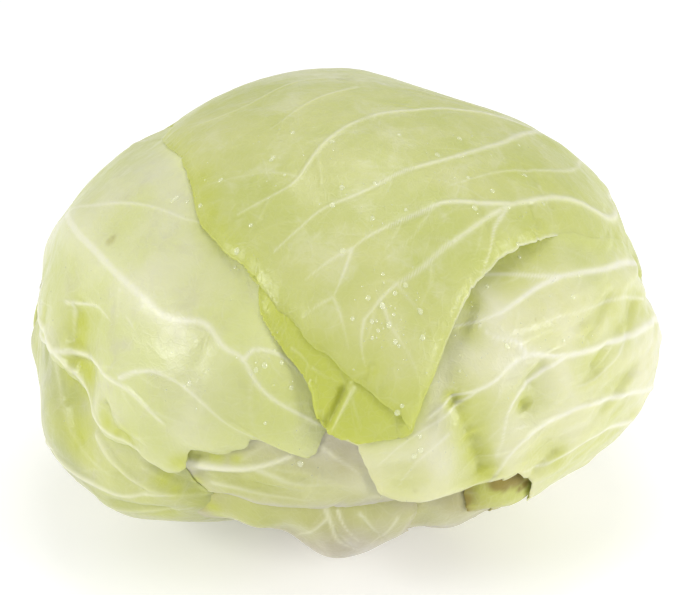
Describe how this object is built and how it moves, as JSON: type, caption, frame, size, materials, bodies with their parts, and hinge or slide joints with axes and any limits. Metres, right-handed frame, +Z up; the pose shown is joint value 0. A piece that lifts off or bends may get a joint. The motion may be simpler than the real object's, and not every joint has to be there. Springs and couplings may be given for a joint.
{
  "type": "cabbage head",
  "caption": "Flat-round head of pale green cabbage, trimmed at the stem, its wrapper leaves laid over one another round a dense heart.",
  "frame": {"origin": "centre of the stem's flat cut face, which the head stands on", "axes": "+Z up from the stem to the crown, -Y towards the front where the crown leaf ends in its tip, +X to the right seen from the front"},
  "size_m": [0.2295, 0.2205, 0.1546],
  "materials": {
    "green_leaf": "waxy fresh green cabbage leaf with pale veins, slightly glossy, wet in places",
    "pale_leaf": "waxy pale yellow-green cabbage leaf with whitish veins, slightly glossy",
    "white_leaf": "smooth whitish base of an inner cabbage leaf, faintly green",
    "withered_leaf": "torn leaf, yellow-green with dry brown edges",
    "heart": "smooth cream-coloured packed leaves",
    "stem": "cut cream-coloured stem, slightly fibrous"
  },
  "bodies": {
    "root": {"stem_core": "stem", "heart": "heart", "lower_right_leaf": "white_leaf", "front_base_leaf": "white_leaf", "torn_leaf": "withered_leaf", "front_inner_leaf": "white_leaf", "lower_left_leaf": "pale_leaf", "left_leaf": "pale_leaf", "right_leaf": "pale_leaf", "under_crown_leaf": "green_leaf", "crown_leaf": "green_leaf", "back_leaf": "green_leaf"}
  },
  "joints": []
}
